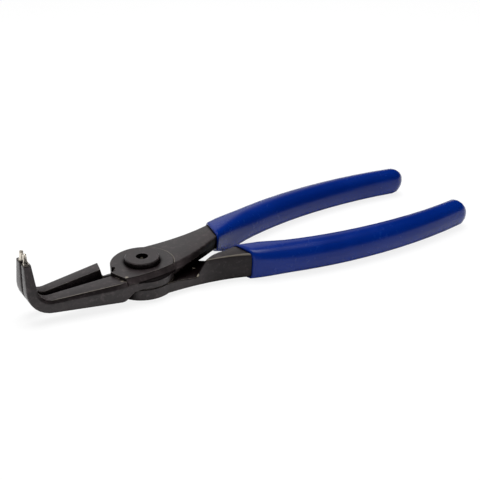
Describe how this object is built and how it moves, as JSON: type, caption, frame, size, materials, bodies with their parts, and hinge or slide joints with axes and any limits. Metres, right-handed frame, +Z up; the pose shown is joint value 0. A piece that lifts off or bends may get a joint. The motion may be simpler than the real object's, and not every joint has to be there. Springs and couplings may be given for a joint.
{
  "type": "circlip pliers",
  "caption": "Internal circlip pliers with bent-up tips: crossed forged levers on a rivet, bright pins in the jaw ends and dipped vinyl sleeves on the handles.",
  "frame": {"origin": "the pivot axis where it meets the plane that the pliers lie on", "axes": "+X along the tool towards the handle ends, +Z up along the pivot axis towards the rivet head and the bent tips, +Y to the side of the upper lever's handle"},
  "size_m": [0.1743, 0.0528, 0.0248],
  "materials": {
    "black_steel": "black oxide over forged and ground steel",
    "rivet_steel": "black oxide, turned",
    "pin_steel": "bright ground",
    "blue_vinyl": "satin dipped vinyl"
  },
  "bodies": {
    "lower_half": {"lower_lever": "black_steel", "pivot_rivet": "rivet_steel", "lower_tip_pin": "pin_steel", "lower_grip_sleeve": "blue_vinyl"},
    "upper_half": {"upper_lever": "black_steel", "upper_tip_pin": "pin_steel", "upper_grip_sleeve": "blue_vinyl"}
  },
  "joints": [
    {"name": "pivot", "type": "hinge", "parent": "lower_half", "child": "upper_half", "pos_m": [0, 0, 0.00575], "axis": [0, 0, 1], "range_deg": [0, 28]}
  ]
}
